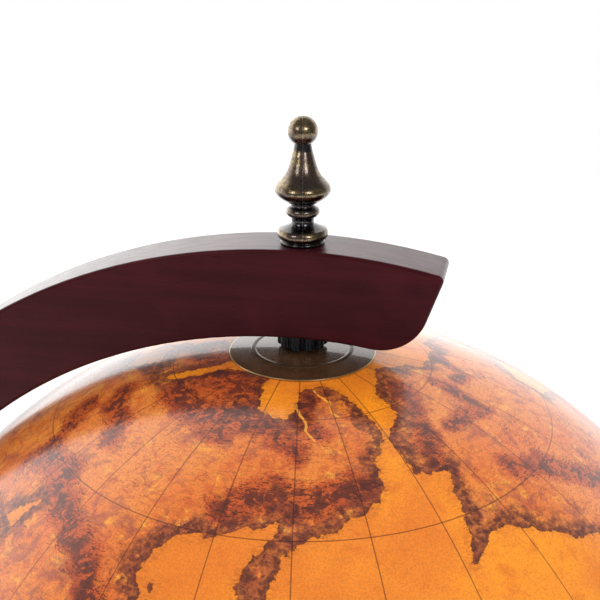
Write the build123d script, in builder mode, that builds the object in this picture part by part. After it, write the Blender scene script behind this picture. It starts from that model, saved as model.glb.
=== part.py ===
from build123d import *

import os
from math import cos, radians, sin, sqrt

# A desk globe on a wooden stand, in millimetres.
# The globe turns on an upright spindle rod that runs from a nut in the foot to the finial. A flat C-shaped
# wooden arm, a little over half a ring, carries the rod past both poles and stands on a turned pedestal and foot.
# Frame: +Z up along the polar axis, origin on that axis at the table plane, the arm's back towards -X.
# Heights named *_h are measured outwards from the globe's centre, towards either pole.

# Globe
globe_radius = 200.0
shell_thickness = 3.0
pole_hole_radius = 6.05
core_bore = 5.0  # the radius inside the tube between the poles

# Arm
arm_gap = 8.0  # between the globe and the arm's inner edge
arm_depth = 36.0  # along the globe's radius
arm_width = 24.0
arm_edge_round = 1.2
toe_start_angle = 8.0  # degrees past the pole where the inner edge turns up into the arm's end
toe_radius = 19.5
toe_end_slope = 70.5  # degrees, the slope of the arm's straight end face
tip_round = 2.5
arm_joint_angles = (-60.0, -120.0)  # degrees from the north pole, towards -X
past_arm_end = 25.0  # degrees past the pole, clear of the arm's end
dowel_radius = 4.0
dowel_length = 30.0
dowel_offset = 9.0  # from the middle of the arm's depth

# Spindle and its pieces at each pole
rod_radius = 3.0
rod_clearance = 0.25
washer_h = 201.3
washer_thickness = 1.0
washer_radius = 6.0
nut_h = 201.5  # the nut's face towards the globe, with the washer sunk into it
nut_radius = 10.0
nut_lobes = 10
nut_turn = -6.6  # degrees from -Y to the middle of a lobe
nut_seat_radius = 11.0
nut_seat_h = 208.2
cap_radius = 29.3
cap_thickness = 0.6
cap_bead_radius = 19.6
finial_seat_radius = 9.6
finial_seat_h = 243.8
finial_thread_depth = 13.0

# Stand
felt_thickness = 1.5
felt_radius = 116.0
foot_radius = 122.0
foot_height = 28.0
pedestal_rise = 22.5  # from the foot's top to the arm's lowest point
pedestal_height = 37.0
saddle_clearance = 0.1
recess_radius = 14.0
recess_depth = 12.0
foot_washer_thickness = 1.5
pedestal_dowel_radius = 4.0
pedestal_dowel_points = ((-32, 0), (32, 0))
pedestal_dowel_hole = 9.0  # the depth of its hole in each piece

dowel_clearance = 0.05
cut_margin = 2.0  # how far a cut starts outside the piece it is made in

arm_inner = globe_radius + arm_gap
arm_outer = arm_inner + arm_depth
arm_middle_radius = (arm_inner + arm_outer) / 2
foot_top = felt_thickness + foot_height
recess_top = felt_thickness + recess_depth
centre_z = foot_top + pedestal_rise + arm_outer
inner_radius = globe_radius - shell_thickness

arm_plane = Plane(origin=(0, 0, centre_z), x_dir=(1, 0, 0), z_dir=(0, -1, 0))
turning_plane = Plane.XZ  # profiles of the stand, drawn as (radius, height above the table)
poles = {"north": 1, "south": -1}


def polar(radius, angle):
    """The point at that radius from the globe's centre, at an angle in degrees from the north pole towards +X."""
    return (radius * sin(radians(angle)), radius * cos(radians(angle)))


def height_on_sphere(sphere_radius, radius):
    """How far above the centre a sphere lies at that distance from the polar axis."""
    return sqrt(sphere_radius**2 - radius**2)


def pole_profile(side):
    """The plane for profiles of pieces at a pole, drawn as (radius, height from the globe's centre)."""
    return Plane(origin=(0, 0, centre_z), x_dir=(1, 0, 0), z_dir=(0, -side, 0))


def pole_level(side, height):
    """The level plane at that height from the globe's centre, facing outwards."""
    return Plane(origin=(0, 0, centre_z + side * height), z_dir=(0, 0, side))


def save(builder, name):
    """Labels a finished piece and writes its STEP file."""
    builder.part.label = name
    export_step(builder.part, f"parts/{name}.step")


def make_arm_blank():
    """The whole C-shaped arm before it is cut into its three glued segments, with its two rod holes."""
    toe_centre = Vector(*polar(arm_inner + toe_radius, toe_start_angle))
    toe_middle = toe_centre + Vector(*polar(toe_radius, 180 + (toe_start_angle - toe_end_slope) / 2))
    toe_end = toe_centre + Vector(*polar(toe_radius, 180 - toe_end_slope))
    end_face = Vector(*polar(1, 90 - toe_end_slope))
    reach = toe_end.dot(end_face)
    tip = toe_end + end_face * (sqrt(reach**2 - toe_end.dot(toe_end) + arm_outer**2) - reach)
    with BuildPart() as arm:
        with BuildSketch(arm_plane):
            with BuildLine():
                inner_end = polar(arm_inner, toe_start_angle)
                ThreePointArc((-arm_inner, 0), polar(arm_inner, -45), inner_end)
                ThreePointArc(inner_end, toe_middle, toe_end)
                Line(toe_end, tip)
                ThreePointArc(tip, polar(arm_outer, -45), (-arm_outer, 0))
                mirror(about=Plane.XZ)
            make_face()
            fillet(vertices().group_by(Axis.X)[-1], radius=tip_round)
        extrude(amount=arm_width / 2, both=True)
        fillet(arm.edges().filter_by(Axis.Y, reverse=True), radius=arm_edge_round)
        for side in poles.values():
            with BuildSketch(pole_level(side, arm_inner - cut_margin)):
                Circle(rod_radius + rod_clearance)
            extrude(amount=arm_depth + 2 * cut_margin, mode=Mode.SUBTRACT)
            with BuildSketch(pole_level(side, arm_inner - cut_margin)):
                Circle(nut_seat_radius)
            extrude(amount=nut_seat_h - arm_inner + cut_margin, mode=Mode.SUBTRACT)
        with BuildSketch(pole_level(poles["north"], finial_seat_h)):
            Circle(finial_seat_radius + 0.2)
        extrude(amount=cut_margin, mode=Mode.SUBTRACT)
    return arm.part


def dowel_places(joint_angle):
    """Where a joint's two dowels stand, with Z along the arm."""
    return [
        Plane(
            origin=(x, 0, centre_z + z),
            z_dir=(cos(radians(joint_angle)), 0, -sin(radians(joint_angle))),
        )
        for x, z in (polar(arm_middle_radius + s * dowel_offset, joint_angle) for s in (-1, 1))
    ]


def make_arm_segment(name, blank, start, end, joints):
    """One of the arm's segments, between two angles, drilled for the dowels of the joints it shares."""
    with BuildPart() as segment:
        add(blank)
        with BuildSketch(arm_plane):
            with BuildLine():
                Polyline((0, 0), polar(2 * arm_outer, start), polar(2 * arm_outer, end), close=True)
            make_face()
        extrude(amount=arm_width, both=True, mode=Mode.INTERSECT)
        for joint_angle in joints:
            for place in dowel_places(joint_angle):
                with BuildSketch(place):
                    Circle(dowel_radius + dowel_clearance)
                extrude(amount=dowel_length / 2 + 1, both=True, mode=Mode.SUBTRACT)
    save(segment, name)


def make_arm_dowels(name, joint_angle):
    """The two wooden dowels across a joint of the arm, with chamfered ends."""
    with BuildPart() as dowels:
        for place in dowel_places(joint_angle):
            with BuildSketch(place):
                Circle(dowel_radius)
            extrude(amount=dowel_length / 2, both=True)
        chamfer(dowels.edges().filter_by(GeomType.CIRCLE), length=0.8)
    save(dowels, name)


def make_hemisphere(name, side):
    """Half of the globe's moulded board shell, which carries the printed map."""
    with BuildPart() as shell:
        with BuildSketch(pole_profile(side)):
            with BuildLine():
                outer_top = (pole_hole_radius, height_on_sphere(globe_radius, pole_hole_radius))
                inner_top = (pole_hole_radius, height_on_sphere(inner_radius, pole_hole_radius))
                ThreePointArc(outer_top, polar(globe_radius, 45), (globe_radius, 0))
                Line((globe_radius, 0), (inner_radius, 0))
                ThreePointArc((inner_radius, 0), polar(inner_radius, 45), inner_top)
                Line(inner_top, outer_top)
            make_face()
        revolve(axis=Axis.Z)
    save(shell, name)


def make_splice_ring():
    """The strip glued inside the equator, which holds the two hemispheres together."""
    outside = inner_radius - 0.1
    half_height = 10.0
    thickness = 2.5
    top_outside = height_on_sphere(outside, half_height)
    with BuildPart() as ring:
        with BuildSketch(arm_plane):
            with BuildLine():
                ThreePointArc((top_outside, -half_height), (outside, 0), (top_outside, half_height))
                Polyline(
                    (top_outside, half_height),
                    (outside - thickness, half_height),
                    (outside - thickness, -half_height),
                    (top_outside, -half_height),
                )
            make_face()
        revolve(axis=Axis.Z)
    save(ring, "equator_splice_ring")


def make_equator_band():
    """The thin printed tape that covers the seam between the hemispheres."""
    half_height = 4.0
    clearance = 0.05
    thickness = 0.3
    with BuildPart() as band:
        with BuildSketch(arm_plane):
            with Locations((globe_radius + clearance + thickness / 2, 0)):
                Rectangle(thickness, 2 * half_height)
        revolve(axis=Axis.Z)
    save(band, "equator_band")


def make_hub_bush(name, side):
    """The nylon bush in a pole's hole: it turns on the rod, with a flange glued inside the shell."""
    bore = rod_radius + 0.08
    spigot = core_bore - 0.05
    spigot_bottom = 182.0
    neck = pole_hole_radius - 0.05
    neck_top = 199.9
    flange_radius = 14.0
    flange_top = 196.2
    flange_bottom = 192.4
    with BuildPart() as bush:
        with BuildSketch(pole_profile(side)):
            with BuildLine():
                Polyline(
                    (bore, spigot_bottom),
                    (spigot, spigot_bottom),
                    (spigot, flange_bottom),
                    (flange_radius, flange_bottom),
                    (flange_radius, flange_top),
                    (neck, flange_top),
                    (neck, neck_top),
                    (bore, neck_top),
                    close=True,
                )
            make_face()
        revolve(axis=Axis.Z)
    save(bush, name)


def make_core_tube():
    """The wound paper tube between the two bushes, which keeps the poles the right distance apart."""
    half_length = 192.3
    wall = 4.0
    with BuildPart() as tube:
        with BuildSketch(Plane.XY.offset(centre_z - half_length)):
            Circle(core_bore + wall)
            Circle(core_bore, mode=Mode.SUBTRACT)
        extrude(amount=2 * half_length)
    save(tube, "core_tube")


def make_polar_cap(name, side):
    """The dished brass disc over a pole, with a raised bead and a level middle under the thrust washer."""
    under = globe_radius + 0.15
    over = under + cap_thickness
    hole = rod_radius + 0.6
    level_radius = 7.0
    level_h = washer_h - 0.3
    bead_height = 0.3
    bead_half_width = 1.0
    with BuildPart() as cap:
        with BuildSketch(pole_profile(side)):
            with BuildLine():
                rim_low = (cap_radius, height_on_sphere(under, cap_radius))
                rim_high = (cap_radius, height_on_sphere(over, cap_radius))
                hole_low = (hole, height_on_sphere(under, hole))
                bead_out_radius = cap_bead_radius + bead_half_width
                bead_in_radius = cap_bead_radius - bead_half_width
                bead_out = (bead_out_radius, height_on_sphere(over, bead_out_radius))
                bead_top = (cap_bead_radius, height_on_sphere(over, cap_bead_radius) + bead_height)
                bead_in = (bead_in_radius, height_on_sphere(over, bead_in_radius))
                level_edge = (level_radius, height_on_sphere(over, level_radius))
                middle = (cap_bead_radius + cap_radius) / 2
                middle_in = (cap_bead_radius + level_radius) / 2
                ThreePointArc(hole_low, (cap_bead_radius, height_on_sphere(under, cap_bead_radius)), rim_low)
                Line(rim_low, rim_high)
                ThreePointArc(rim_high, (middle, height_on_sphere(over, middle)), bead_out)
                ThreePointArc(bead_out, bead_top, bead_in)
                ThreePointArc(bead_in, (middle_in, height_on_sphere(over, middle_in)), level_edge)
                Polyline(level_edge, (level_radius - 0.8, level_h), (hole, level_h), hole_low)
            make_face()
        revolve(axis=Axis.Z)
        rims = cap.edges().filter_by(GeomType.CIRCLE).filter_by(lambda edge: edge.radius > cap_radius - 0.01)
        fillet(rims, radius=cap_thickness / 3)
    save(cap, name)


def make_thrust_washer(name, side):
    """The nylon washer that the turning cap rubs on."""
    with BuildPart() as washer:
        with BuildSketch(pole_level(side, washer_h)):
            Circle(washer_radius)
            Circle(rod_radius + 0.1, mode=Mode.SUBTRACT)
        extrude(amount=washer_thickness)
    save(washer, name)


def make_fluted_nut(name, side):
    """The black lobed nut that locks the rod against the arm, with ten round lobes for the fingers."""
    lobe_radius = 2.1
    hub_radius = nut_radius - 1.8
    recess_play = 0.1
    with BuildPart() as nut:
        with BuildSketch(pole_level(side, nut_h)):
            Circle(hub_radius)
            with PolarLocations(nut_radius - lobe_radius, nut_lobes, start_angle=nut_turn - 90):
                Circle(lobe_radius)
            Circle(rod_radius, mode=Mode.SUBTRACT)
        extrude(amount=nut_seat_h - nut_h)
        globe_side_face = nut.faces().filter_by(Axis.Z).sort_by(Axis((0, 0, 0), (0, 0, side)))[0]
        chamfer(globe_side_face.outer_wire().edges(), length=0.5)
        with BuildSketch(pole_level(side, nut_h)):
            Circle(washer_radius + recess_play)
        extrude(amount=washer_h + washer_thickness - nut_h, mode=Mode.SUBTRACT)
    save(nut, name)


def make_finial():
    """The cast brass finial, turned in outline: a stepped base, a ring, a bell and a ball."""
    base_z = centre_z + finial_seat_h
    ball_radius = 5.8
    ball_h = 43.8
    neck_radius = 3.3
    neck_top = ball_h - sqrt(ball_radius**2 - neck_radius**2)
    with BuildPart() as finial:
        with BuildSketch(Plane(origin=(0, 0, base_z), x_dir=(1, 0, 0), z_dir=(0, -1, 0))):
            with BuildLine():
                Line((0, 0), (8.2, 0))
                ThreePointArc((8.2, 0), (8.7, 0.7), (8.2, 1.4))
                Line((8.2, 1.4), (8.7, 1.9))
                ThreePointArc((8.7, 1.9), (9.95, 4.4), (9.1, 6.1))
                ThreePointArc((9.1, 6.1), (6.9, 6.9), (4.7, 7.8))
                ThreePointArc((4.7, 7.8), (4.35, 9.3), (4.9, 10.7))
                ThreePointArc((4.9, 10.7), (6.55, 12.8), (5.0, 14.7))
                ThreePointArc((5.0, 14.7), (4.6, 15.3), (4.9, 16.0))
                Spline(
                    (4.9, 16.0), (7.6, 17.4), (9.9, 19.3), (10.85, 21.6), (9.9, 23.9), (7.9, 26.0), (6.2, 28.6),
                    (5.1, 31.6), (4.1, 35.2), (neck_radius, neck_top),
                    tangents=((1, 0.25), (-0.12, 1)),
                )
                ThreePointArc((neck_radius, neck_top), (ball_radius, ball_h), (0, ball_h + ball_radius))
                Line((0, ball_h + ball_radius), (0, 0))
            make_face()
        revolve(axis=Axis.Z)
        with BuildSketch(Plane.XY.offset(base_z)):
            Circle(rod_radius)
        extrude(amount=finial_thread_depth, mode=Mode.SUBTRACT)
    save(finial, "finial")


def make_spindle_rod():
    """The threaded rod that ties the whole globe together, drawn without its thread."""
    bottom_z = felt_thickness + 3.0
    end_clearance = 0.5
    top_z = centre_z + finial_seat_h + finial_thread_depth - end_clearance
    with BuildPart() as rod:
        with BuildSketch(Plane.XY.offset(bottom_z)):
            Circle(rod_radius)
        extrude(amount=top_z - bottom_z)
        chamfer(rod.edges().filter_by(GeomType.CIRCLE), length=0.6)
    save(rod, "spindle_rod")


def make_pedestal():
    """The short turned column, with a slot across its top that the arm sits in."""
    base = foot_top
    top = foot_top + pedestal_height
    with BuildPart() as pedestal:
        with BuildSketch(turning_plane):
            with BuildLine():
                Line((0, base), (52, base))
                ThreePointArc((52, base), (56, base + 4), (52, base + 8))
                Line((52, base + 8), (48, base + 8))
                Line((48, base + 8), (48, base + 10))
                ThreePointArc((48, base + 10), (38.5, base + 14.5), (35, base + 22))
                ThreePointArc((35, base + 22), (35.6, base + 25), (38, base + 27))
                Line((38, base + 27), (38, base + 29))
                ThreePointArc((38, base + 29), (42, base + 33), (38, top))
                Line((38, top), (0, top))
                Line((0, top), (0, base))
            make_face()
        revolve(axis=Axis.Z)
        with BuildSketch(arm_plane):
            Circle(arm_outer + saddle_clearance)
        extrude(amount=arm_width / 2 + saddle_clearance, both=True, mode=Mode.SUBTRACT)
        with BuildSketch(Plane.XY.offset(base)):
            Circle(rod_radius + rod_clearance)
        extrude(amount=pedestal_height, mode=Mode.SUBTRACT)
        with BuildSketch(Plane.XY.offset(base)):
            with Locations(*pedestal_dowel_points):
                Circle(pedestal_dowel_radius + dowel_clearance)
        extrude(amount=pedestal_dowel_hole, mode=Mode.SUBTRACT)
    save(pedestal, "pedestal")


def make_foot():
    """The turned round foot: a bead, a step and a shallow ogee, recessed below for the rod's nut."""
    low = felt_thickness
    with BuildPart() as foot:
        with BuildSketch(turning_plane):
            with BuildLine():
                Line((0, low), (foot_radius - 2, low))
                ThreePointArc((foot_radius - 2, low), (foot_radius - 0.6, low + 0.6), (foot_radius, low + 2))
                ThreePointArc((foot_radius, low + 2), (foot_radius + 1.4, low + 6), (foot_radius - 3, low + 10))
                Line((foot_radius - 3, low + 10), (foot_radius - 7, low + 10))
                Line((foot_radius - 7, low + 10), (foot_radius - 7, low + 12))
                ThreePointArc((foot_radius - 7, low + 12), (foot_radius - 14, low + 13.6), (95, low + 18))
                ThreePointArc((95, low + 18), (84, low + 22.6), (73, low + 24))
                Line((73, low + 24), (73, foot_top - 1))
                ThreePointArc((73, foot_top - 1), (72.7, foot_top - 0.3), (72, foot_top))
                Line((72, foot_top), (0, foot_top))
                Line((0, foot_top), (0, low))
            make_face()
        revolve(axis=Axis.Z)
        with BuildSketch(Plane.XY.offset(low)):
            Circle(recess_radius)
        extrude(amount=recess_depth, mode=Mode.SUBTRACT)
        with BuildSketch(Plane.XY.offset(low)):
            Circle(rod_radius + rod_clearance)
        extrude(amount=foot_height, mode=Mode.SUBTRACT)
        with BuildSketch(Plane.XY.offset(foot_top - pedestal_dowel_hole)):
            with Locations(*pedestal_dowel_points):
                Circle(pedestal_dowel_radius + dowel_clearance)
        extrude(amount=pedestal_dowel_hole, mode=Mode.SUBTRACT)
    save(foot, "foot")


def make_pedestal_dowels():
    """The two dowels that stop the pedestal turning on the foot."""
    half_length = pedestal_dowel_hole - 1
    with BuildPart() as dowels:
        with BuildSketch(Plane.XY.offset(foot_top - half_length)):
            with Locations(*pedestal_dowel_points):
                Circle(pedestal_dowel_radius)
        extrude(amount=2 * half_length)
        chamfer(dowels.edges().filter_by(GeomType.CIRCLE), length=0.6)
    save(dowels, "pedestal_dowels")


def make_foot_washer():
    """The wide steel washer at the top of the foot's recess."""
    with BuildPart() as washer:
        with BuildSketch(Plane.XY.offset(recess_top - foot_washer_thickness)):
            Circle(recess_radius - 1)
            Circle(rod_radius + 0.2, mode=Mode.SUBTRACT)
        extrude(amount=foot_washer_thickness)
    save(washer, "foot_washer")


def make_foot_nut():
    """The hexagon nut that draws the arm, pedestal and foot together."""
    across_flats = 10.0
    height = 5.0
    bottom = recess_top - foot_washer_thickness - height
    corner = across_flats / 2 / cos(radians(30))
    bevel_height = 0.9
    with BuildPart() as nut:
        with BuildSketch(Plane.XY.offset(bottom)):
            RegularPolygon(across_flats / 2, 6, major_radius=False)
            Circle(rod_radius, mode=Mode.SUBTRACT)
        extrude(amount=height)
        with BuildSketch(turning_plane):
            with BuildLine():
                Polyline(
                    (across_flats / 2, bottom),
                    (corner + 1, bottom),
                    (corner + 1, bottom + bevel_height),
                    close=True,
                )
            make_face()
        revolve(axis=Axis.Z, mode=Mode.SUBTRACT)
    save(nut, "foot_nut")


def make_felt_pad():
    """The felt disc glued under the foot, which covers the nut's recess."""
    with BuildPart() as pad:
        with BuildSketch(Plane.XY):
            Circle(felt_radius)
        extrude(amount=felt_thickness)
    save(pad, "felt_pad")


os.makedirs("parts", exist_ok=True)

arm_blank = make_arm_blank()
upper_joint, lower_joint = arm_joint_angles
make_arm_segment("arm_upper", arm_blank, past_arm_end, upper_joint, (upper_joint,))
make_arm_segment("arm_middle", arm_blank, upper_joint, lower_joint, (upper_joint, lower_joint))
make_arm_segment("arm_lower", arm_blank, lower_joint, -180 - past_arm_end, (lower_joint,))
make_arm_dowels("arm_upper_dowels", upper_joint)
make_arm_dowels("arm_lower_dowels", lower_joint)

for pole, side in poles.items():
    make_hemisphere(f"{pole}_hemisphere", side)
    make_hub_bush(f"{pole}_hub_bush", side)
    make_polar_cap(f"{pole}_polar_cap", side)
    make_thrust_washer(f"{pole}_thrust_washer", side)
    make_fluted_nut(f"{pole}_fluted_nut", side)
make_splice_ring()
make_equator_band()
make_core_tube()

make_finial()
make_spindle_rod()
make_pedestal()
make_foot()
make_pedestal_dowels()
make_foot_washer()
make_foot_nut()
make_felt_pad()
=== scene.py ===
from math import cos, pi, radians, sin

import bpy
import numpy as np
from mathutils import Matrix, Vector


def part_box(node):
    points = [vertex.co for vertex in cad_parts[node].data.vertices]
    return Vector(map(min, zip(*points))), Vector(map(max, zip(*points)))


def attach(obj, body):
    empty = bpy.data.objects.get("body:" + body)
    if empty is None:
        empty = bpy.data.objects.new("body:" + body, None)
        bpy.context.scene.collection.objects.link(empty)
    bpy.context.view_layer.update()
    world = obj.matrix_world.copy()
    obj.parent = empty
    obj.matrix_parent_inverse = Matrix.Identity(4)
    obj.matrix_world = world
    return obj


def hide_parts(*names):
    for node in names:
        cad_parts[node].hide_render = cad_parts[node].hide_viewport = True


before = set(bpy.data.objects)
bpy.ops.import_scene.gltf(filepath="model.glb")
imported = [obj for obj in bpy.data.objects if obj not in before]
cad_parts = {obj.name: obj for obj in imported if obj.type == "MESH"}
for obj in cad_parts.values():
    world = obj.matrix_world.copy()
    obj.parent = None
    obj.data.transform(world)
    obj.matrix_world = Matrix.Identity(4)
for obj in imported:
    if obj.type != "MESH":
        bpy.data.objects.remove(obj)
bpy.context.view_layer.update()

# ------------------------------------------------------- the globe's measures, from the frame, in metres

ball_low, ball_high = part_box("north_hemisphere")
centre_z = ball_low.z
ball_radius = ball_high.x
shell_thickness = 0.003
pole_hole_radius = ball_radius * sin(np.arccos((ball_high.z - centre_z) / ball_radius))
centre = Vector((0, 0, centre_z))
finial_low, finial_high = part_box("finial")

# The finial's dark hollows, as shares of its height: each one's middle, its reach either side, and its darkness
finial_hollows = ((0.0, 0.05, 0.95), (0.18, 0.085, 0.92), (0.31, 0.05, 0.85), (0.765, 0.05, 0.92))
# The finial's casting seam faces this far round from -Y towards +X, and the opposite way.
seam_turn = radians(12)


# ---------------------------------------------------------------- node graphs


class Graph:
    """A material's node graph, with short calls for the nodes that the materials share."""

    def __init__(self, name, roughness=0.5, metallic=0.0):
        self.material = bpy.data.materials.new(name)
        self.material.use_nodes = True
        self.tree = self.material.node_tree
        self.shader = self.tree.nodes["Principled BSDF"]
        self.shader.inputs["Roughness"].default_value = roughness
        self.shader.inputs["Metallic"].default_value = metallic
        self.place = self.tree.nodes.new("ShaderNodeTexCoord").outputs["Object"]

    def put(self, socket, value):
        if isinstance(value, bpy.types.NodeSocket):
            self.tree.links.new(value, socket)
        else:
            socket.default_value = value

    def set(self, **inputs):
        """Gives the shader's inputs their values or links, by name with _ for a space."""
        for name, value in inputs.items():
            self.put(self.shader.inputs[name.replace("_", " ")], value)

    def math(self, operation, *values, clamp=False):
        node = self.tree.nodes.new("ShaderNodeMath")
        node.operation = operation
        node.use_clamp = clamp
        for socket, value in zip(node.inputs, values):
            self.put(socket, value)
        return node.outputs[0]

    def vector(self, operation, *values):
        node = self.tree.nodes.new("ShaderNodeVectorMath")
        node.operation = operation
        sockets = [node.inputs[0], node.inputs["Scale"]] if operation == "SCALE" else node.inputs
        for socket, value in zip(sockets, values):
            self.put(socket, value)
        return node.outputs[1 if operation in ("LENGTH", "DOT_PRODUCT") else 0]

    def split(self, vector):
        node = self.tree.nodes.new("ShaderNodeSeparateXYZ")
        self.put(node.inputs[0], vector)
        return node.outputs

    def join(self, x, y, z):
        node = self.tree.nodes.new("ShaderNodeCombineXYZ")
        for socket, value in zip(node.inputs, (x, y, z)):
            self.put(socket, value)
        return node.outputs[0]

    def noise(self, place, scale, detail=3.0, roughness=0.5, distortion=0.0):
        node = self.tree.nodes.new("ShaderNodeTexNoise")
        self.put(node.inputs["Vector"], place)
        node.inputs["Scale"].default_value = scale
        node.inputs["Detail"].default_value = detail
        node.inputs["Roughness"].default_value = roughness
        node.inputs["Distortion"].default_value = distortion
        return node.outputs["Fac"]

    def noise_colour(self, place, scale):
        return self.noise(place, scale).node.outputs["Color"]

    def mapping(self, rotation=(0, 0, 0), scale=(1, 1, 1)):
        node = self.tree.nodes.new("ShaderNodeMapping")
        self.put(node.inputs["Vector"], self.place)
        node.inputs["Rotation"].default_value = rotation
        node.inputs["Scale"].default_value = scale
        return node.outputs[0]

    def step(self, value, low, high, out_low=0.0, out_high=1.0):
        """A smooth step from out_low, at low, to out_high, at high."""
        node = self.tree.nodes.new("ShaderNodeMapRange")
        node.interpolation_type = "SMOOTHSTEP"
        for name, number in zip(("Value", "From Min", "From Max", "To Min", "To Max"),
                                (value, low, high, out_low, out_high)):
            self.put(node.inputs[name], number)
        return node.outputs[0]

    def mix(self, factor, first, second, blend="MIX"):
        node = self.tree.nodes.new("ShaderNodeMix")
        node.data_type = "RGBA"
        node.blend_type = blend
        self.put(node.inputs["Factor"], factor)
        for name, value in (("A", first), ("B", second)):
            socket = next(s for s in node.inputs if s.name == name and s.type == "RGBA")
            self.put(socket, value)
        return next(s for s in node.outputs if s.type == "RGBA")

    def bump(self, height, distance, strength=1.0):
        node = self.tree.nodes.new("ShaderNodeBump")
        node.inputs["Strength"].default_value = strength
        node.inputs["Distance"].default_value = distance
        self.put(node.inputs["Height"], height)
        return node.outputs[0]


def longitude_from(g, x, y):
    """Degrees round the pole axis from -Y towards +X."""
    return g.math("DEGREES", g.math("ARCTAN2", x, g.math("MULTIPLY", y, -1.0)))


def colour(red, green, blue):
    """A colour from 0 to 255 as a screen shows it, made linear."""
    parts = [part / 255 for part in (red, green, blue)]
    return tuple(p / 12.92 if p <= 0.04045 else ((p + 0.055) / 1.055) ** 2.4 for p in parts) + (1.0,)


# ---------------------------------------------------------------- materials


def make_wood(name, rotation):
    """Dark mahogany stain under satin lacquer. rotation turns the grain from X to where it runs in the
    piece."""
    g = Graph(name, roughness=0.30)
    fibres = g.noise(g.mapping(rotation, (18, 520, 520)), 1.0, detail=4.0, roughness=0.6)
    bands = g.noise(g.mapping(rotation, (5, 90, 90)), 1.0, detail=3.0, distortion=0.5)
    pores = g.noise(g.mapping(rotation, (140, 2600, 2600)), 1.0, detail=2.0)
    mottle = g.noise(g.place, 45.0, detail=3.0)
    body = g.mix(g.step(bands, 0.3, 0.7), (0.030, 0.0040, 0.0056, 1), (0.046, 0.0062, 0.0080, 1))
    body = g.mix(g.step(fibres, 0.35, 0.7, 0.0, 0.45), body, (0.022, 0.0030, 0.0044, 1))
    body = g.mix(g.step(mottle, 0.42, 0.75, 0.0, 0.5), body, (0.058, 0.0072, 0.0084, 1))
    pore = g.step(pores, 0.62, 0.70)
    body = g.mix(g.math("MULTIPLY", pore, 0.5), body, (0.010, 0.0015, 0.0020, 1))
    g.set(Base_Color=body, Roughness=g.step(fibres, 0.2, 0.8, 0.26, 0.38))
    g.set(Specular_Tint=(0.22, 0.05, 0.08, 1), Coat_Weight=0.5, Coat_IOR=1.2, Coat_Roughness=0.28)
    height = g.math("MULTIPLY_ADD", pore, -0.5, fibres)
    g.set(Normal=g.bump(height, 0.00006, 0.4))
    return g.material


def make_disc_brass():
    """The polar discs' bronzed brass: brown all over, with painted shade along the bead, brighter at the rim.
    """
    rim_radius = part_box("north_polar_cap")[1].x
    bead_radius = 0.669 * rim_radius
    bead_half_width, bead_fade = 0.0006, 0.0012
    rim_bright_reach, rim_fade = 0.00045, 0.0002
    g = Graph("brass_disc", roughness=0.30, metallic=0.30)
    x, y, z = g.split(g.place)
    radius = g.math("SQRT", g.math("ADD", g.math("MULTIPLY", x, x), g.math("MULTIPLY", y, y)))
    cloud = g.noise(g.place, 160.0, detail=3.0, roughness=0.6)
    specks = g.noise(g.place, 1700.0, detail=3.0, roughness=0.7)
    turned = g.noise(g.math("MULTIPLY", radius, 9000.0), 1.0, detail=2.0)
    body = g.mix(g.step(cloud, 0.32, 0.68), (0.082, 0.036, 0.014, 1), (0.130, 0.060, 0.025, 1))
    body = g.mix(g.step(specks, 0.40, 0.62, 0.6, 0.0), body, (0.030, 0.015, 0.010, 1))
    off_bead = g.math("ABSOLUTE", g.math("SUBTRACT", radius, bead_radius))
    bead = g.step(off_bead, bead_half_width, bead_fade, 1.0, 0.0)
    # Painted shade along the bead: darkened, and below made rougher with less coat, to dim the glint its slopes
    # would catch.
    body = g.mix(g.math("MULTIPLY", bead, 0.35), body, (0.020, 0.012, 0.008, 1))
    waver = g.math("MULTIPLY_ADD", cloud, 0.0003, -0.00015)
    # A thin band at the rim is brighter and more metallic.
    rim = g.step(g.math("ADD", radius, waver), rim_radius - rim_bright_reach, rim_radius - rim_fade)
    body = g.mix(g.math("MULTIPLY", rim, 0.9), body, (0.62, 0.42, 0.17, 1))
    rough = g.math("MULTIPLY_ADD", bead, 0.08, g.step(specks, 0.3, 0.7, 0.34, 0.26))
    height = g.math("MULTIPLY_ADD", turned, 0.25, specks)
    g.set(Base_Color=body, Metallic=g.math("MULTIPLY_ADD", rim, 0.65, 0.30), Roughness=rough,
          Coat_Weight=g.math("MULTIPLY_ADD", bead, -0.65, 0.85), Normal=g.bump(height, 0.00008, 0.4))
    g.set(Coat_Roughness=0.07, Specular_IOR_Level=0.25)
    return g.material


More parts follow.
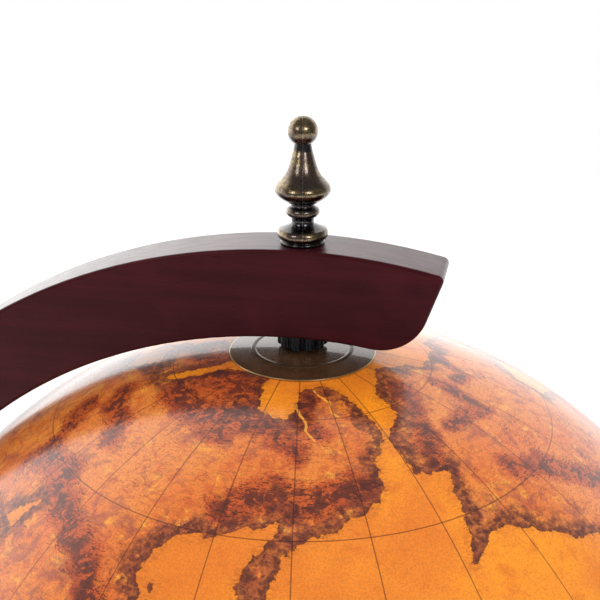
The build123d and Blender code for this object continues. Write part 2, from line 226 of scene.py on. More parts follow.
def make_finial_brass():
    """The finial's antiqued brass under thin clear lacquer: rubbed brighter in clouds, with dark specks and
    plum stains, near black in its hollows, with painted shade on the faces that look down, and a faint seam
    from the casting down the front."""
    g = Graph("brass_finial", roughness=0.24, metallic=1.0)
    patina = (0.040, 0.028, 0.020, 1)
    seam_half_width, seam_fade = 0.00006, 0.00022
    cloud = g.noise(g.place, 130.0, detail=3.0, roughness=0.55)
    specks = g.noise(g.place, 850.0, detail=4.0, roughness=0.75)
    stain = g.noise(g.place, 95.0, detail=4.0, roughness=0.65)
    metal = g.mix(g.step(cloud, 0.34, 0.66, 0.60, 1.0), patina, (0.33, 0.235, 0.105, 1))
    metal = g.mix(g.step(stain, 0.47, 0.58, 0.0, 0.75), metal, (0.105, 0.062, 0.060, 1))
    metal = g.mix(g.step(specks, 0.40, 0.55, 0.88, 0.0), metal, patina)
    relief_height = g.math("MULTIPLY_ADD", cloud, 0.6, specks)
    x, y, z = g.split(g.place)
    share = g.math("DIVIDE", g.math("SUBTRACT", z, finial_low.z), finial_high.z - finial_low.z)
    waver = g.math("MULTIPLY_ADD", g.noise(g.place, 300.0), 0.04, -0.02)
    share = g.math("ADD", share, waver)
    dark = 0.0
    for middle, reach, darkness in finial_hollows:
        off_middle = g.math("ABSOLUTE", g.math("SUBTRACT", share, middle))
        hollow = g.step(off_middle, reach * 0.4, reach, darkness, 0.0)
        dark = g.math("MAXIMUM", hollow, dark)
    # Painted shade: faces that look down are darkened towards the patina's near-black, standing in for the
    # shadow beneath the finial's swellings and foot.
    normal = g.tree.nodes.new("ShaderNodeNewGeometry").outputs["Normal"]
    under = g.step(g.split(normal)[2], -0.05, -0.45, 0.0, 0.9)
    body = g.mix(g.math("MAXIMUM", dark, under), metal, (0.012, 0.011, 0.017, 1))
    across = g.math("ADD", g.math("MULTIPLY", x, cos(seam_turn)), g.math("MULTIPLY", y, sin(seam_turn)))
    seam = g.step(g.math("ABSOLUTE", across), seam_half_width, seam_fade, 1.0, 0.0)
    body = g.mix(g.math("MULTIPLY", seam, 0.5), body, (0.22, 0.19, 0.20, 1))
    normal = g.bump(g.math("MULTIPLY_ADD", seam, 1.2, relief_height), 0.00014, 0.5)
    g.set(Base_Color=body, Roughness=g.step(specks, 0.3, 0.7, 0.38, 0.18), Normal=normal)
    g.set(Coat_Weight=1.0, Coat_Roughness=0.08)
    return g.material


def make_plastic(name, body, roughness):
    """Moulded plastic with a fine satin grain."""
    g = Graph(name, roughness=roughness)
    grain = g.noise(g.place, 2600.0, detail=2.0)
    cloud = g.noise(g.place, 120.0, detail=2.0)
    g.set(Base_Color=g.mix(g.step(cloud, 0.3, 0.7), body, tuple(0.72 * c for c in body[:3]) + (1,)),
          Roughness=g.step(grain, 0.3, 0.7, roughness - 0.05, roughness + 0.08),
          Normal=g.bump(grain, 0.00004, 0.3))
    return g.material


def make_steel(name):
    """Zinc-plated steel, brushed along the upright axis."""
    g = Graph(name, roughness=0.3, metallic=1.0)
    brushed = g.noise(g.mapping(scale=(3000, 3000, 120)), 1.0, detail=2.0)
    cloud = g.noise(g.place, 300.0, detail=3.0)
    g.set(Base_Color=g.mix(cloud, (0.42, 0.43, 0.44, 1), (0.62, 0.62, 0.60, 1)),
          Roughness=g.step(brushed, 0.3, 0.7, 0.22, 0.42), Normal=g.bump(brushed, 0.00003, 0.3))
    return g.material


def make_felt(name):
    """Pressed wool felt, with a matted nap."""
    g = Graph(name, roughness=0.95)
    fibres = g.noise(g.place, 1400.0, detail=5.0, roughness=0.7)
    g.set(Base_Color=g.mix(fibres, (0.008, 0.030, 0.014, 1), (0.030, 0.085, 0.045, 1)),
          Normal=g.bump(fibres, 0.0004, 0.8))
    g.set(Sheen_Weight=0.5)
    return g.material


def make_board(name):
    """Pulp board, with coarse fibres."""
    g = Graph(name, roughness=0.85)
    fibres = g.noise(g.mapping(scale=(400, 400, 1600)), 1.0, detail=4.0)
    g.set(Base_Color=g.mix(fibres, (0.30, 0.22, 0.13, 1), (0.52, 0.42, 0.28, 1)),
          Normal=g.bump(fibres, 0.0002, 0.4))
    return g.material


def make_birch(name):
    """Raw birch, with the grain upright."""
    g = Graph(name, roughness=0.6)
    fibres = g.noise(g.mapping(scale=(900, 900, 60)), 1.0, detail=4.0)
    g.set(Base_Color=g.mix(fibres, (0.50, 0.34, 0.18, 1), (0.76, 0.60, 0.40, 1)),
          Normal=g.bump(fibres, 0.0001, 0.4))
    return g.material


# ------------------------------------------------------- the map: coastlines as (longitude, latitude)

# The globe is at rest with this longitude towards -Y, and with east towards +X.
front_longitude = 155.0
graticule_step = 15.0

eurasia = [
    (-9, 43), (-9, 37), (-6, 36), (-2, 36.7), (0, 39), (3, 42), (6, 43), (9, 44.3), (12, 42), (15.5, 38),
    (17, 40.5), (14, 42.5), (12.5, 45), (15, 44), (19, 42), (21, 38), (23, 36.5), (24, 40), (28, 41),
    (27, 37), (31, 36.5), (36, 36.5), (35, 32), (32.5, 30.5), (35, 28), (39, 21), (43, 13), (45, 12.8),
    (52, 16), (59, 22), (56, 25.5), (51, 25), (48, 30), (52, 27.5), (57, 26.5), (61, 25), (67, 24.5),
    (70, 21), (73, 17), (75, 11), (77.5, 8), (80, 12), (80.5, 16), (86, 20), (90, 22.5), (94, 17),
    (97.5, 15), (98.5, 9), (101, 4), (103.5, 1.4), (103.3, 5), (100.5, 9), (100.5, 13.3), (103, 11.5),
    (105, 9), (109, 12), (106, 19), (108, 21.5), (114, 22.5), (119, 25.5), (122, 31), (119.5, 35),
    (122, 37), (118, 38.5), (121, 40.5), (125, 39.5), (126.5, 35), (129.3, 35.5), (128, 39), (131, 43),
    (136, 45.5), (140, 49), (141, 53), (137, 54), (142, 59), (150, 59.5), (156, 61), (160, 61), (163, 62.5),
    (160, 60), (156, 57), (156, 51.5), (160, 53), (163, 57), (166, 60), (172, 60.5), (180, 62.5),
    (185.5, 65), (186.5, 67), (189, 69.3), (192.4, 70.5), (193.3, 72), (191.3, 76), (188.5, 78.7),
    (180, 80.3), (170, 80.3), (165, 79.5), (163.5, 76), (161, 74.4), (154, 75), (146, 76), (144, 78.5),
    (138, 81.5), (126, 82), (112, 81.9), (105, 81), (100.5, 78), (94, 74.8), (90, 73.8), (84, 73.8),
    (74, 73.5), (69, 68.5), (60, 69), (54, 68.5), (46, 67), (44, 68.5), (40, 64.5), (35, 64.5), (33, 66.7),
    (41, 67), (30, 70), (25, 71), (18, 69), (13, 65), (5, 62), (5.5, 59), (10, 59), (12.5, 56), (16.5, 57),
    (18, 60), (17.5, 62), (22, 65.7), (25, 65), (21.5, 62), (24, 60), (30, 60), (24, 59), (21.5, 57),
    (19, 54.5), (14, 54), (10.5, 54), (10, 57.5), (8.3, 56), (8, 53.7), (4, 52), (-1, 49), (-4.5, 48.3),
    (-1.2, 46), (-1.6, 43.4),
]
africa = [
    (-6, 35.8), (0, 36), (10, 37.3), (11, 34), (19, 30.5), (25, 32), (33, 31.3), (33, 28.5), (37, 21),
    (43, 11.5), (51, 12), (48, 5), (41, -2), (39.5, -7), (40.5, -15), (35, -20), (35.5, -24), (32.5, -27),
    (28, -33), (20, -34.8), (18, -32), (15, -26), (12, -18), (13.5, -11), (9, -2), (9.5, 4), (5, 5),
    (-1, 5), (-8, 4.5), (-13, 9), (-17, 14.5), (-16.5, 21), (-13, 27.5), (-9.5, 31),
]
north_america = [
    (200.5, 62.2), (202, 63.4), (204, 64.8), (201.6, 65), (198.4, 65.5), (195.5, 66), (196.3, 68.5),
    (196, 70.3), (199.6, 72.4), (205, 75), (209, 77), (216.5, 79), (227, 80.3), (240, 79), (250, 76.5),
    (262, 75), (271, 73.5), (280, 73.5), (289, 71), (298, 66.5), (293, 63), (283, 64), (286, 62),
    (296, 60.5), (298, 57), (304, 53), (300, 50), (294, 49.5), (299, 46), (294, 44.5), (290, 43.5),
    (290, 41.5), (285.5, 40), (284, 36), (279, 31.5), (279.7, 26), (277.5, 28), (275, 30), (270, 29.3),
    (263, 28), (262, 22.5), (265, 18.5), (269.5, 21.3), (273, 21.5), (271.5, 16), (277, 15), (277, 10),
    (283, 9), (281, 7.3), (277, 8.3), (273.5, 12), (267, 15.5), (260, 17), (254.5, 20), (251, 25.5),
    (247.5, 31.5), (244.5, 37), (240, 42), (234, 46), (229, 49), (221, 52), (213, 55.5), (207, 57.5),
    (202, 57), (197, 55), (200, 59), (202.5, 61.5),
]
south_america = [
    (282.5, 8.5), (288, 12), (294, 10.5), (300, 8.5), (308, 4.5), (311, 0), (316, -2.5), (325, -6),
    (324, -11), (320.5, -15), (319, -22), (312, -25.5), (308, -32), (302, -36), (298, -40), (294.5, -44),
    (292, -50), (292, -54.5), (286, -52), (285, -46), (286.5, -40), (288.5, -30), (289.7, -19), (284, -14),
    (279, -6), (279, -1), (282.5, 4),
]
australia = [
    (113.5, -22), (114, -26), (115.5, -34), (123, -34), (131, -31.5), (138, -35), (146, -39), (150, -37),
    (153.5, -29), (149, -21), (145.5, -15), (142.5, -11), (141, -17), (136, -12), (130.5, -12), (126, -14),
    (122, -18),
]
greenland = [
    (292, 78), (300, 82), (325, 83.5), (343, 81.5), (341, 76), (338, 71), (328, 68.5), (320, 65), (317, 60),
    (311, 61), (306, 67), (305, 72), (300, 76),
]
islands = [
    [(49.3, -12), (50.3, -16), (47, -25), (44, -24), (44.5, -17)],
    [(-5.5, 50), (1, 51), (0, 53.5), (-2, 56), (-3, 58.6), (-5.5, 57), (-3, 54), (-4.5, 52)],
    [(-10, 52), (-6.3, 52.2), (-6, 55), (-9.5, 54)],
    [(336, 64), (338, 66), (346, 66), (344, 63.5)],
    [(131, 31.5), (136, 34), (140.5, 35.5), (142, 40), (145, 43.5), (141.5, 45.3), (139.5, 38.5),
     (133, 35.5), (130, 33)],
    [(95.5, 5.5), (104, -2), (105.5, -6), (100, -1.5)],
    [(105.5, -6.5), (114.5, -7.7), (114, -8.7), (106, -7.6)],
    [(109, 1.5), (113, 3), (117, 7), (119, 5), (117, 0), (116, -4), (111, -3)],
    [(119.5, -5), (120, 0.5), (125, 1.5), (121, -1), (122.5, -4.5)],
    [(131, -1), (137, -2), (141, -3), (147, -6), (150.5, -10.5), (143, -9), (138, -8), (133, -4)],
    [(172.8, -34.5), (178, -38), (175, -41.5), (171, -44), (168.5, -46.8), (167, -45.5), (172.5, -41),
     (174.5, -38)],
    [(120.5, 18.5), (122, 18), (124, 13), (126.5, 8), (125.5, 6), (122, 8), (121.5, 13)],
    [(80, 9.5), (81.8, 7), (80.5, 6), (79.8, 8)],
    [(275.5, 22), (281, 23), (286, 20.3), (282, 20)],
    [(286, 20), (291.5, 18.5), (287, 18)],
    [(52, 71), (56, 75.5), (67, 77), (60, 74.5), (56.5, 71)],
    [(12, 79), (20, 80.3), (26, 79.5), (17, 76.7)],
    [(144.8, -41), (148.3, -41), (147, -43.6)],
    [(142, 54), (143.5, 50), (142.5, 46), (142, 49)],
    [(301, 47.5), (304.5, 51.5), (307, 47)],
    [(235.5, 42), (238, 44), (243, 38), (246.5, 31), (250.5, 23.5), (248.5, 24), (243, 31), (238, 37)],
    [(56, 80), (70, 82.5), (90, 83), (99.5, 81.9), (97.5, 79), (93, 76.5), (90.5, 74.4), (84, 73), (62, 73)],
]
lands = [eurasia, africa, north_america, south_america, australia, greenland, *islands]
lakes = [
    [(28, 43), (31, 46.5), (35, 45), (38, 47), (41.5, 42), (36, 41.5), (31, 41.5)],
    [(47, 45), (52, 46.5), (53, 42), (54, 37), (50, 37.5), (49, 41)],
    [(265.5, 59), (268, 62.5), (274, 63), (281, 62.5), (284, 58.5), (280, 55), (279, 51.5), (274, 55)],
    [(267.5, 46.8), (271, 48.5), (275.5, 46.5), (277, 44), (274, 42), (272.3, 45)],
    [(104, 51.5), (109.5, 55.5), (108, 52.3)],
]

# Mountains as (width in degrees, points along the ridge)
ridges = [
    (5.0, [(100, 79.5), (115, 79.5), (128, 79), (136, 77.5), (138, 74.5)]),
    (3.4, [(96, 77), (104, 74), (118, 73.5), (130, 73.5)]),
    (2.0, [(64, 78), (76, 78), (90, 79.5)]),
    (2.4, [(88, 69), (95, 67.5), (104, 67), (108, 65.5)]),
    (2.6, [(86, 64.5), (92, 62), (96, 58), (104, 60)]),
    (2.2, [(138, 71.5), (148, 73.8), (158, 72.5), (165, 70.5)]),
    (2.0, [(170, 78.5), (166, 75.5), (172, 73)]),
    (3.0, [(150, 63), (160, 65), (170, 64), (180, 65.5)]),
    (3.0, [(105, 60), (118, 56), (130, 53), (136, 47)]),
    (2.4, [(222, 76.5), (213, 73), (205, 68), (203, 65.5)]),
    (1.6, [(238, 74), (236, 68), (228, 69), (217, 69.5)]),
    (1.6, [(262, 74), (254, 71), (248, 72)]),
    (2.6, [(222, 62), (232, 58), (243, 50), (250, 42), (254, 34), (257, 24)]),
    (2.2, [(281, 6), (283, -3), (285, -12), (292, -20), (290, -32), (288, -46)]),
    (3.2, [(70, 38), (77, 33), (86, 29), (97, 28), (103, 32)]),
    (2.4, [(70, 40), (80, 43), (90, 48), (100, 51)]),
    (1.8, [(60, 67), (59, 60), (58, 52)]),
    (2.0, [(6, 61), (12, 65), (18, 68)]),
    (1.6, [(6, 45.5), (11, 47), (18, 49), (25, 46)]),
    (1.8, [(37, 38), (45, 37.5), (52, 33), (58, 29)]),
    (1.8, [(-7, 32), (0, 34), (8, 35.5)]),
    (2.6, [(37, 13), (37, 6), (36, -3), (34, -10), (31, -22)]),
    (2.2, [(145, -18), (150, -27), (147, -36)]),
    (1.8, [(280, 37), (287, 44)]),
    (2.0, [(100, 20), (107, 17), (106, 24)]),
    (2.0, [(316, -17), (312, -23)]),
]
# Rivers as (longitude, latitude), traced in gold
rivers = [
    [(174, 80), (176, 79), (180.5, 77.6), (180, 76), (181.6, 75.2)],
    [(164, 77.6), (165, 76), (168.5, 74.6), (168, 73.2), (171, 72)],
]


def on_sphere(longitude, latitude):
    """Unit vectors from the ball's centre, where the map's longitude and latitude lie at rest."""
    azimuth = np.radians(np.asarray(longitude, float) - front_longitude)
    height = np.radians(np.asarray(latitude, float))
    return np.stack([np.cos(height) * np.sin(azimuth), -np.cos(height) * np.cos(azimuth), np.sin(height)], -1)


def distance_inside(outline, points, longitude, latitude):
    """How far each point lies inside an outline, in degrees along the sphere, and less than 0 outside it."""
    ends = on_sphere(*np.array(outline, float).T)
    nearest = np.full(len(points), np.inf)
    for start, end in zip(ends, np.roll(ends, -1, axis=0)):
        along = end - start
        share = np.clip((points - start) @ along / (along @ along), 0, 1)
        gap = np.linalg.norm(points - start - share[:, None] * along, axis=1)
        nearest = np.minimum(nearest, gap)
    inside = np.zeros(len(points), bool)
    corners = list(zip(outline, outline[1:] + outline[:1]))
    for turn in (-360, 0, 360):
        x = longitude + turn
        for (x0, y0), (x1, y1) in corners:
            if y0 != y1:
                crosses = (y0 > latitude) != (y1 > latitude)
                inside ^= crosses & (x < (x1 - x0) * (latitude - y0) / (y1 - y0) + x0)
    return np.degrees(nearest) * np.where(inside, 1, -1)


def coast_distance(points):
    """How far each point on the unit sphere lies from the coast, in degrees: more than 0 on land."""
    latitude = np.degrees(np.arcsin(np.clip(points[:, 2], -1, 1)))
    azimuth = np.degrees(np.arctan2(points[:, 0], -points[:, 1]))
    longitude = (azimuth + front_longitude) % 360
    turn = np.radians(longitude)
    # The southern continent's shore wavers about its mean latitude.
    southern_shore = -71
    distance = southern_shore - latitude + 4 * np.sin(2 * turn + 1) + 2.5 * np.sin(5 * turn)
    for outline in lands:
        distance = np.maximum(distance, distance_inside(outline, points, longitude, latitude))
    for outline in lakes:
        distance = np.minimum(distance, -distance_inside(outline, points, longitude, latitude))
    return distance


def relief(points):
    """How mountainous each point on the unit sphere is: 1 along a ridge, 0 past its width."""
    height = np.zeros(len(points))
    for width, ridge in ridges:
        ends = on_sphere(*np.array(ridge, float).T)
        for start, end in zip(ends, ends[1:]):
            along = end - start
            share = np.clip((points - start) @ along / (along @ along), 0, 1)
            gap = np.degrees(np.linalg.norm(points - start - share[:, None] * along, axis=1))
            height = np.maximum(height, 1 - gap / width)
    return height


def make_map_material():
    """The printed map under glossy lacquer. The coast and relief attributes lay out land, sea and mountains,
    and noise breaks them into an engraver's ragged shores, hachures and stains."""
    g = Graph("printed_map", roughness=0.55)

    def attribute(name):
        node = g.tree.nodes.new("ShaderNodeAttribute")
        node.attribute_name = name
        return node.outputs["Fac"]

    place = g.vector("SUBTRACT", g.place, tuple(centre))
    x, y, z = g.split(g.vector("NORMALIZE", place))
    longitude = g.math("ADD", longitude_from(g, x, y), front_longitude)
    latitude = g.math("DEGREES", g.math("ARCSINE", z))
    ring = g.math("SQRT", g.math("SUBTRACT", 1.0, g.math("MULTIPLY", z, z)))

    wander = g.math("SUBTRACT", g.noise(place, 75.0, detail=5.0, roughness=0.62), 0.5)
    fine = g.math("SUBTRACT", g.noise(place, 420.0, detail=4.0, roughness=0.65), 0.5)
    ragged = g.math("MULTIPLY_ADD", fine, 1.1, g.math("MULTIPLY", wander, 3.6))
    coast = g.math("ADD", attribute("coast"), ragged)
    land = g.step(coast, -0.04, 0.06)

    # Strokes that run along the parallels, and finer ones in every direction
    stretched = g.join(g.math("MULTIPLY", x, 68.0), g.math("MULTIPLY", y, 68.0),
                       g.math("MULTIPLY", latitude, 4.6))
    along = g.noise(stretched, 1.0, detail=3.0, roughness=0.6, distortion=1.1)
    across = g.noise(place, 620.0, detail=3.0, roughness=0.6, distortion=2.2)
    strokes = g.math("MAXIMUM", g.step(along, 0.55, 0.60), g.step(across, 0.56, 0.60, 0.0, 0.85))

    cloud = g.noise(place, 24.0, detail=3.0)
    blotch = g.noise(place, 130.0, detail=4.0, roughness=0.66)
    smudge = g.noise(place, 190.0, detail=4.0, roughness=0.66, distortion=0.8)
    mauve = g.noise(place, 85.0, detail=5.0, roughness=0.72, distortion=0.6)
    grain = g.noise(place, 1500.0, detail=2.0)
    age = g.noise(place, 12.0, detail=4.0, roughness=0.62)

    # Gold sea, browner with age and under the wash along its shores
    sea = g.mix(g.step(cloud, 0.38, 0.62), colour(244, 146, 22), colour(236, 138, 34))
    sea = g.mix(g.step(blotch, 0.50, 0.72, 0.0, 0.5), sea, colour(206, 100, 24))
    sea = g.mix(g.step(across, 0.58, 0.64, 0.0, 0.22), sea, colour(120, 52, 20))
    sea = g.mix(g.step(age, 0.44, 0.62, 0.0, 0.55), sea, colour(214, 108, 26))
    wash = g.math("MULTIPLY", g.step(coast, -1.3, -0.05, 0.0, 0.45), g.step(along, 0.44, 0.60))
    sea = g.mix(wash, sea, colour(150, 72, 24))

    # Orange land with gold, rust and plum mottling
    ground = g.mix(g.step(cloud, 0.40, 0.60), colour(228, 132, 52), colour(222, 118, 44))
    ground = g.mix(g.step(blotch, 0.44, 0.34), ground, colour(240, 156, 50))
    ground = g.mix(g.step(smudge, 0.52, 0.60, 0.0, 0.55), ground, colour(196, 84, 42))
    ground = g.mix(g.step(mauve, 0.52, 0.63, 0.0, 0.6), ground, colour(146, 72, 60))

    # Mountains: red-brown ground under dark hachures
    high = g.math("MULTIPLY_ADD", wander, 1.8, attribute("relief"), clamp=True)
    ground = g.mix(g.step(high, 0.05, 0.6, 0.0, 0.75), ground, colour(184, 66, 20))
    hachures = g.math("MULTIPLY", g.step(high, 0.0, 0.45, 0.30, 0.92), strokes)
    ground = g.mix(hachures, ground, colour(78, 32, 22))
    stain = g.math("MULTIPLY", g.step(high, 0.30, 0.9), g.step(smudge, 0.44, 0.54))
    ground = g.mix(g.math("MULTIPLY", stain, 0.85), ground, colour(70, 34, 30))

    # Shaded shores on the land's side, widest where the noise is high
    reach = g.step(blotch, 0.32, 0.66, 0.8, 3.6)
    shade = g.math("SUBTRACT", 1.0, g.math("DIVIDE", coast, reach), clamp=True)
    shade = g.math("MULTIPLY", g.step(shade, 0.0, 0.6), g.step(fine, -0.12, 0.06, 0.45, 1.0))
    shore = g.mix(g.step(smudge, 0.42, 0.56), colour(108, 50, 36), colour(66, 32, 30))
    ground = g.mix(g.math("MULTIPLY", shade, 0.90), ground, shore)
    body = g.mix(land, sea, ground)

    # Rivers: gold where the unit sphere's point, shaken by noise, lies near one of their courses
    river_half_width, river_fade = 0.0020, 0.0036
    wave = g.vector("SCALE", g.vector("SUBTRACT", g.noise_colour(place, 170.0), (0.5, 0.5, 0.5)), 0.018)
    spot = g.vector("ADD", g.vector("NORMALIZE", place), wave)
    near = None
    for river in rivers:
        ends = on_sphere(*np.array(river, float).T)
        for start, end in zip(ends, ends[1:]):
            course = end - start
            offset = g.vector("SUBTRACT", spot, tuple(start))
            share = g.vector("DOT_PRODUCT", offset, tuple(course / (course @ course)))
            share = g.math("MULTIPLY", share, 1.0, clamp=True)
            gap = g.vector("LENGTH", g.vector("SUBTRACT", offset, g.vector("SCALE", tuple(course), share)))
            near = gap if near is None else g.math("MINIMUM", near, gap)
    body = g.mix(g.step(near, river_half_width, river_fade, 0.85, 0.0), body, colour(240, 164, 60))

    # The shore's line, and the graticule's, with widths in degrees along the sphere
    line = g.step(g.math("ABSOLUTE", coast), 0.04, 0.12, 0.6, 0.0)
    body = g.mix(line, body, colour(52, 18, 10))
    half_step = graticule_step / 2
    for value, stretch in ((longitude, ring), (latitude, 1.0)):
        past = g.math("FLOORED_MODULO", g.math("ADD", value, half_step), graticule_step)
        off = g.math("ABSOLUTE", g.math("SUBTRACT", past, half_step))
        thin = g.step(g.math("MULTIPLY", off, stretch), 0.030, 0.095, 0.68, 0.0)
        body = g.mix(thin, body, colour(58, 20, 10))
    body = g.mix(g.step(grain, 0.35, 0.7, 0.0, 0.24), body, colour(120, 50, 20))
    g.set(Base_Color=body)
    g.set(Coat_Weight=1.0, Coat_Roughness=0.17, Coat_IOR=1.5, Specular_IOR_Level=0.1)
    return g.material


def make_tape_material():
    """The printed tape round the equator: a cream scale with a brown block every other five degrees, above and
    below a line on the equator in turn."""
    g = Graph("printed_tape", roughness=0.5)
    x, y, z = g.split(g.vector("SUBTRACT", g.place, tuple(centre)))
    longitude = longitude_from(g, x, y)
    band_low, band_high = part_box("equator_band")
    half_width = (band_high.z - band_low.z) / 2
    block_degrees = 5.0
    across = g.math("DIVIDE", z, half_width)
    stain = g.noise(g.place, 90.0, detail=4.0, roughness=0.6)
    grain = g.noise(g.place, 1500.0, detail=2.0)
    upper = g.math("GREATER_THAN", across, 0.0)
    shifted = g.math("MULTIPLY_ADD", upper, block_degrees, longitude)
    block = g.math("LESS_THAN", g.math("FLOORED_MODULO", shifted, 2 * block_degrees), block_degrees)
    body = g.mix(g.step(stain, 0.35, 0.65), colour(232, 176, 96), colour(214, 146, 70))
    size = g.math("ABSOLUTE", across)
    inside = g.math("MULTIPLY", g.step(size, 0.70, 0.74, 1.0, 0.0), block)
    body = g.mix(g.math("MULTIPLY", inside, 0.92), body, colour(78, 30, 18))
    edges = g.step(g.math("ABSOLUTE", g.math("SUBTRACT", size, 0.84)), 0.03, 0.07, 0.8, 0.0)
    middle = g.step(size, 0.02, 0.06, 0.8, 0.0)
    body = g.mix(g.math("MAXIMUM", edges, middle), body, colour(70, 26, 14))
    body = g.mix(g.step(grain, 0.35, 0.7, 0.0, 0.3), body, colour(120, 60, 24))
    g.set(Base_Color=body, Normal=g.bump(grain, 0.00003, 0.3))
    g.set(Coat_Weight=1.0, Coat_Roughness=0.17)
    return g.material


def make_shell(name, side, material):
    """Half of the ball: a fine outer skin that carries the map, a coarser inside, and the pole's hole."""
    columns = 480
    polar_rows = 84
    other_rows = 45
    inside_rows = 12
    turns = np.linspace(0, 2 * pi, columns, endpoint=False)
    polar_end = pi / 4
    inner_radius = ball_radius - shell_thickness
    outer_start = np.arcsin(pole_hole_radius / ball_radius)
    inner_start = np.arcsin(pole_hole_radius / inner_radius)
    profile = [(ball_radius, a) for a in np.linspace(outer_start, polar_end, polar_rows, endpoint=False)]
    profile += [(ball_radius, a) for a in np.linspace(polar_end, pi / 2, other_rows)]
    profile += [(inner_radius, a) for a in np.linspace(pi / 2, inner_start, inside_rows)]
    points = np.array([
        (r * sin(a) * sin(t), -r * sin(a) * cos(t), side * r * cos(a)) for r, a in profile for t in turns
    ])
    faces = []
    for i in range(len(profile)):
        for j in range(columns):
            after = (j + 1) % columns
            below = (i + 1) % len(profile)
            quad = (i * columns + j, i * columns + after, below * columns + after, below * columns + j)
            faces.append(quad if side < 0 else quad[::-1])
    mesh = bpy.data.meshes.new(name)
    mesh.from_pydata((points + np.array(centre)).tolist(), [], faces)
    mesh.update()
    units = points / np.linalg.norm(points, axis=1)[:, None]
    for layer, measure in (("coast", coast_distance), ("relief", relief)):
        values = measure(units).astype(np.float32)
        mesh.attributes.new(layer, "FLOAT", "POINT").data.foreach_set("value", values)
    mesh.materials.append(material)
    mesh.polygons.foreach_set("use_smooth", np.ones(len(mesh.polygons), bool))
    mesh.set_sharp_from_angle(angle=radians(40))
    shell = bpy.data.objects.new(name, mesh)
    bpy.context.scene.collection.objects.link(shell)
    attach(shell, "globe")
    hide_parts(name.replace("_map", "_hemisphere"))
    return shell


# ---------------------------------------------------------------- the pieces


def dress(node, material):
    """Gives a CAD node its material."""
    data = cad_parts[node].data
    data.materials.clear()
    data.materials.append(material)


upright = radians(90)
wood_upper = make_wood("mahogany_upper", (0, radians(-25), 0))
wood_middle = make_wood("mahogany_middle", (0, upright, 0))
wood_lower = make_wood("mahogany_lower", (0, radians(25), 0))
wood_stand = make_wood("mahogany_stand", (0, 0, radians(20)))
for node, material in (("arm_upper", wood_upper), ("arm_middle", wood_middle), ("arm_lower", wood_lower),
                       ("pedestal", wood_stand), ("foot", wood_stand)):
    dress(node, material)

disc_brass = make_disc_brass()
dress("finial", make_finial_brass())
dress("north_polar_cap", disc_brass)
dress("south_polar_cap", disc_brass)

black_plastic = make_plastic("black_plastic", (0.004, 0.004, 0.007, 1), 0.24)
nylon = make_plastic("nylon", (0.72, 0.70, 0.62, 1), 0.45)
steel = make_steel("zinc_steel")
board = make_board("grey_board")
birch = make_birch("birch")
for pole in ("north", "south"):
    dress(f"{pole}_fluted_nut", black_plastic)
    dress(f"{pole}_thrust_washer", nylon)
    dress(f"{pole}_hub_bush", nylon)
for node in ("spindle_rod", "foot_nut", "foot_washer"):
    dress(node, steel)
for node in ("core_tube", "equator_splice_ring"):
    dress(node, board)
for node in ("arm_upper_dowels", "arm_lower_dowels", "pedestal_dowels"):
    dress(node, birch)
dress("felt_pad", make_felt("green_felt"))

map_material = make_map_material()
dress("equator_band", make_tape_material())
make_shell("north_map", 1, map_material)
make_shell("south_map", -1, map_material)


# ---------------------------------------------------------------- floor, light and camera


def make_floor():
    """A round white table top, wide enough to reach past the light's window in every reflection."""
    radius = 2.2
    corners = 96
    turns = [2 * pi * i / corners for i in range(corners)]
    mesh = bpy.data.meshes.new("floor")
    mesh.from_pydata([(radius * cos(t), radius * sin(t), 0) for t in turns], [], [tuple(range(corners))])
    g = Graph("pale_floor", roughness=0.9)
    g.set(Base_Color=g.mix(g.noise(g.place, 8.0), (0.93, 0.93, 0.93, 1), (0.95, 0.95, 0.95, 1)))
    g.set(Specular_IOR_Level=0.1)
    mesh.materials.append(g.material)
    floor = bpy.data.objects.new("floor", mesh)
    bpy.context.scene.collection.objects.link(floor)


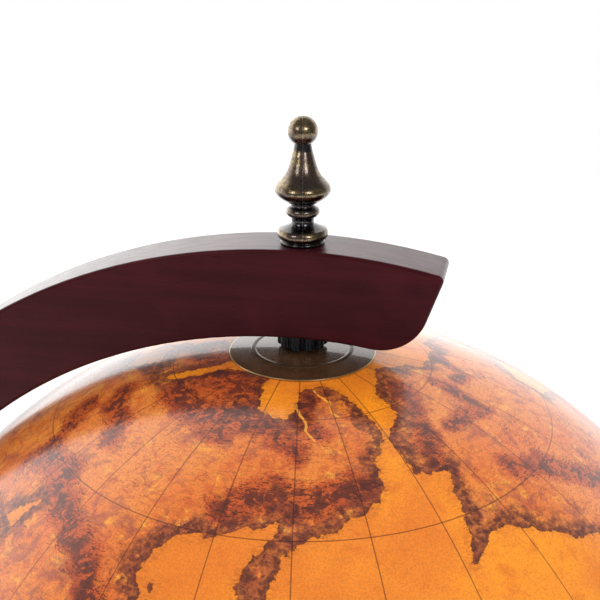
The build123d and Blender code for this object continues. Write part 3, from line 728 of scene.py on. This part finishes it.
def make_world():
    """A white studio. Diffuse light comes from all round, brighter from above and behind, and reflections show
    one great soft window that fills the back, brightest low on the left, in a dim room."""
    world = bpy.data.worlds.new("studio")
    bpy.context.scene.world = world
    world.use_nodes = True
    tree = world.node_tree
    background = tree.nodes["Background"]
    background.inputs["Color"].default_value = (1, 1, 1, 1)
    place = tree.nodes.new("ShaderNodeTexCoord").outputs["Generated"]

    def towards(direction):
        node = tree.nodes.new("ShaderNodeVectorMath")
        node.operation = "DOT_PRODUCT"
        tree.links.new(place, node.inputs[0])
        node.inputs[1].default_value = direction
        return node.outputs["Value"]

    def ramp(socket, low, high, out_low, out_high):
        node = tree.nodes.new("ShaderNodeMapRange")
        node.interpolation_type = "SMOOTHSTEP"
        tree.links.new(socket, node.inputs["Value"])
        for name, value in zip(("From Min", "From Max", "To Min", "To Max"), (low, high, out_low, out_high)):
            node.inputs[name].default_value = value
        return node.outputs["Result"]

    def add(first, second):
        node = tree.nodes.new("ShaderNodeMath")
        tree.links.new(first, node.inputs[0])
        tree.links.new(second, node.inputs[1])
        return node.outputs[0]

    def choose(factor, first, second):
        node = tree.nodes.new("ShaderNodeMix")
        tree.links.new(factor, node.inputs["Factor"])
        for name, value in (("A", first), ("B", second)):
            if isinstance(value, bpy.types.NodeSocket):
                tree.links.new(value, node.inputs[name])
            else:
                node.inputs[name].default_value = value
        return node.outputs["Result"]

    # Each part of the light, with the direction it comes from and the strengths away from it and towards it
    window = ramp(towards((-0.5, 1.0, -0.46)), -0.14, 0.34, 0.18, 1.25)
    low_left = ramp(towards((-0.85, 0.62, -0.25)), 0.2, 0.9, 0.0, 0.95)
    all_round = ramp(towards((0, 0.9, 0.45)), -0.7, 0.6, 0.62, 1.42)
    rays = tree.nodes.new("ShaderNodeLightPath").outputs
    strength = choose(rays["Is Glossy Ray"], all_round, add(window, low_left))
    strength = choose(rays["Is Camera Ray"], strength, 1.0)
    tree.links.new(strength, background.inputs["Strength"])


def make_softbox(name, azimuth, size, power):
    """A square soft light aimed at the finial, round from -Y towards +X by azimuth, in degrees."""
    elevation = 24
    distance = 1.3
    target = (finial_low + finial_high) / 2
    a, e = radians(azimuth), radians(elevation)
    back = Vector((sin(a) * cos(e), -cos(a) * cos(e), sin(e)))
    light = bpy.data.lights.new(name, "AREA")
    light.shape = "SQUARE"
    light.size = size
    light.energy = power
    lamp = bpy.data.objects.new(name, light)
    lamp.location = target + back * distance
    lamp.rotation_euler = back.to_track_quat("Z", "Y").to_euler()
    bpy.context.scene.collection.objects.link(lamp)


def make_camera():
    """A close view of the pole from in front of the arm, a little to the right and above."""
    azimuth, elevation = radians(11.91), radians(23.20)
    downward, turn = radians(20.91), radians(12.05)
    distance = 2.321 * ball_radius
    data = bpy.data.cameras.new("camera")
    data.lens = 69.5
    data.clip_start = 0.01
    camera = bpy.data.objects.new("camera", data)
    pole = centre + Vector((0, 0, ball_radius))
    camera.location = pole + distance * Vector((
        sin(azimuth) * cos(elevation), -cos(azimuth) * cos(elevation), sin(elevation)))
    camera.rotation_euler = (radians(90) - downward, 0, turn)
    bpy.context.scene.collection.objects.link(camera)
    bpy.context.scene.camera = camera


make_floor()
make_world()
make_softbox("softbox_left", azimuth=-30, size=0.40, power=3.0)
make_softbox("softbox_right", azimuth=39, size=0.36, power=3.5)
make_camera()
bpy.context.scene.view_settings.view_transform = "Standard"
